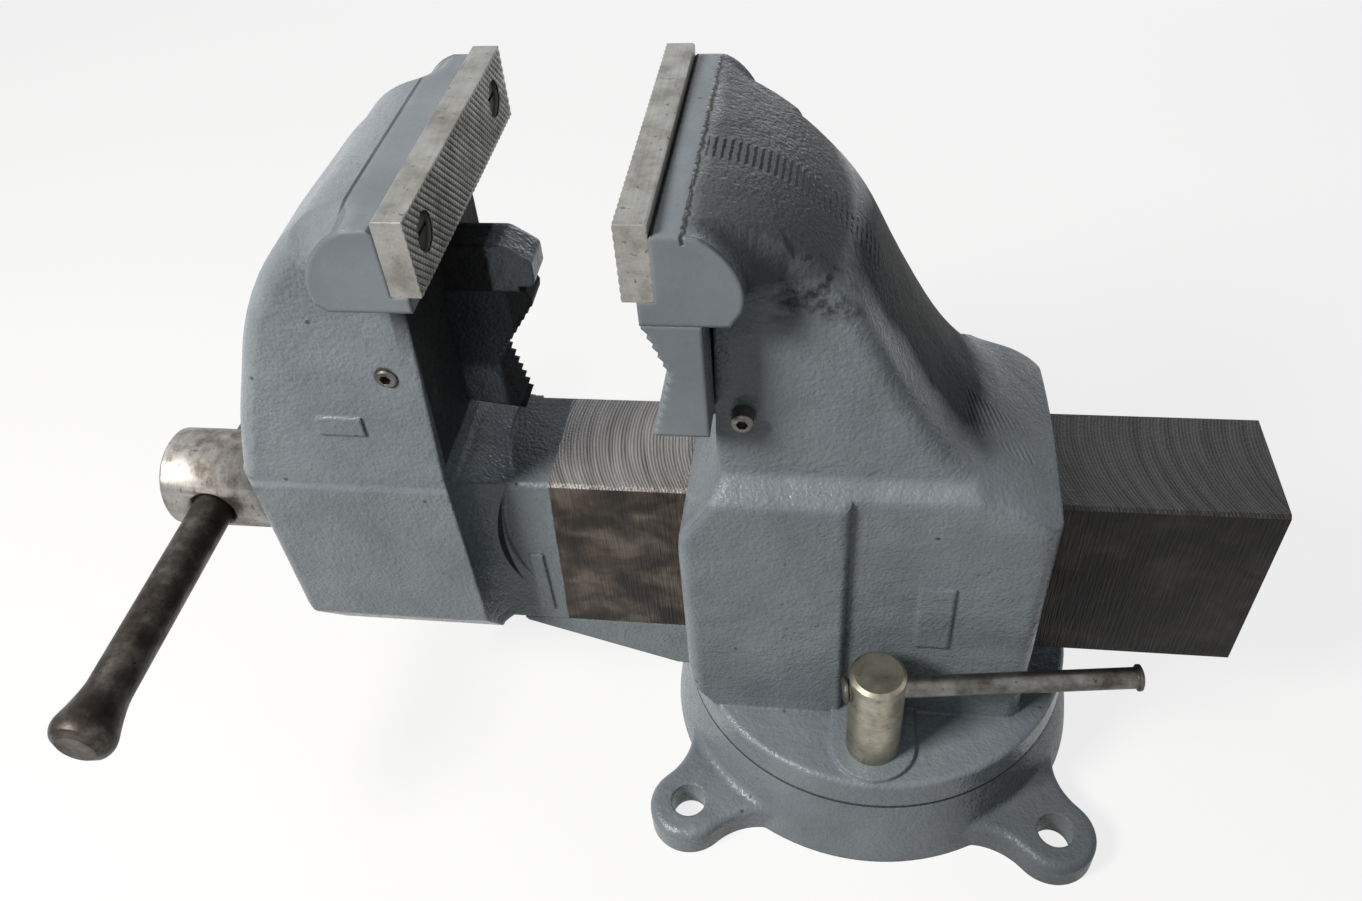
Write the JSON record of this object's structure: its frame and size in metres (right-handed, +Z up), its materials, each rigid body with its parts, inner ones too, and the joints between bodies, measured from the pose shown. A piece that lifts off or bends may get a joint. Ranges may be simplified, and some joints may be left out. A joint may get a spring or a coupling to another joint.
{
  "type": "bench pipe vise",
  "caption": "Bench vise on a locking swivel base: sliding front jaw with screw and handle, serrated plates, toothed pipe jaws.",
  "frame": {"origin": "centre of the swivel base on the bench plane", "axes": "+Z up from the bench, +X along the slide bar from the handle towards the bar's tail, -Y the side with the visible lock bolt and the handle's near knob"},
  "size_m": [0.4995, 0.28, 0.3291],
  "materials": {
    "grey_paint": "semi-gloss blue grey paint over cast iron",
    "plate_steel": "ground and serrated steel",
    "dark_steel": "dark worn steel",
    "bright_steel": "turned bright steel",
    "cast_iron": "bare cast iron"
  },
  "bodies": {
    "base": {"swivel_base": "grey_paint"},
    "body": {"static_body": "grey_paint", "fixed_jaw_plate": "plate_steel", "fixed_plate_screws": "dark_steel", "fixed_pipe_jaw_near": "grey_paint", "fixed_pipe_jaw_far": "grey_paint", "fixed_pipe_screw_near": "dark_steel", "fixed_pipe_screw_far": "dark_steel", "screw_nut": "cast_iron", "nut_bolt": "dark_steel", "nut_bolt_washer": "dark_steel", "lock_nut_near": "cast_iron", "lock_nut_far": "cast_iron"},
    "front": {"front_jaw": "grey_paint", "front_jaw_plate": "plate_steel", "front_plate_screws": "dark_steel", "front_pipe_jaw": "grey_paint", "front_pipe_screw": "dark_steel"},
    "screw": {"main_screw": "bright_steel", "thrust_washer": "bright_steel", "screw_collar": "dark_steel", "collar_pin": "dark_steel"},
    "handle": {"handle_bar": "dark_steel", "handle_knob": "dark_steel"},
    "near_lock": {"lock_bolt_near": "bright_steel"},
    "near_bar": {"lock_bar_near": "bright_steel"},
    "far_lock": {"lock_bolt_far": "bright_steel"},
    "far_bar": {"lock_bar_far": "bright_steel"}
  },
  "joints": [
    {"name": "swivel", "type": "hinge", "parent": "base", "child": "body", "pos_m": [0, 0, 0.035], "axis": [0, 0, 1], "continuous": true},
    {"name": "jaw_slide", "type": "slide", "parent": "body", "child": "front", "axis": [1, 0, 0], "range_m": [-0.125, 0.0675]},
    {"name": "screw_turn", "type": "hinge", "parent": "front", "child": "screw", "pos_m": [-0.26, 0, 0.14], "axis": [1, 0, 0], "range_deg": [-7200, 3900]},
    {"name": "handle_slide", "type": "slide", "parent": "screw", "child": "handle", "axis": [0, 1, 0], "range_m": [-0.074, 0.097]},
    {"name": "near_lock_turn", "type": "hinge", "parent": "body", "child": "near_lock", "pos_m": [0, -0.072, 0.05], "axis": [0, 0, 1], "range_deg": [-180, 3]},
    {"name": "near_bar_slide", "type": "slide", "parent": "near_lock", "child": "near_bar", "axis": [0.9919, 0.1271, 0], "range_m": [-0.097, 0]},
    {"name": "far_lock_turn", "type": "hinge", "parent": "body", "child": "far_lock", "pos_m": [0, 0.072, 0.05], "axis": [0, 0, 1], "range_deg": [-3, 180]},
    {"name": "far_bar_slide", "type": "slide", "parent": "far_lock", "child": "far_bar", "axis": [0.9919, -0.1271, 0], "range_m": [-0.097, 0]}
  ],
  "couplings": [
    {"joint": "screw_turn", "follows": "jaw_slide", "rad_per_m": 989.47}
  ]
}
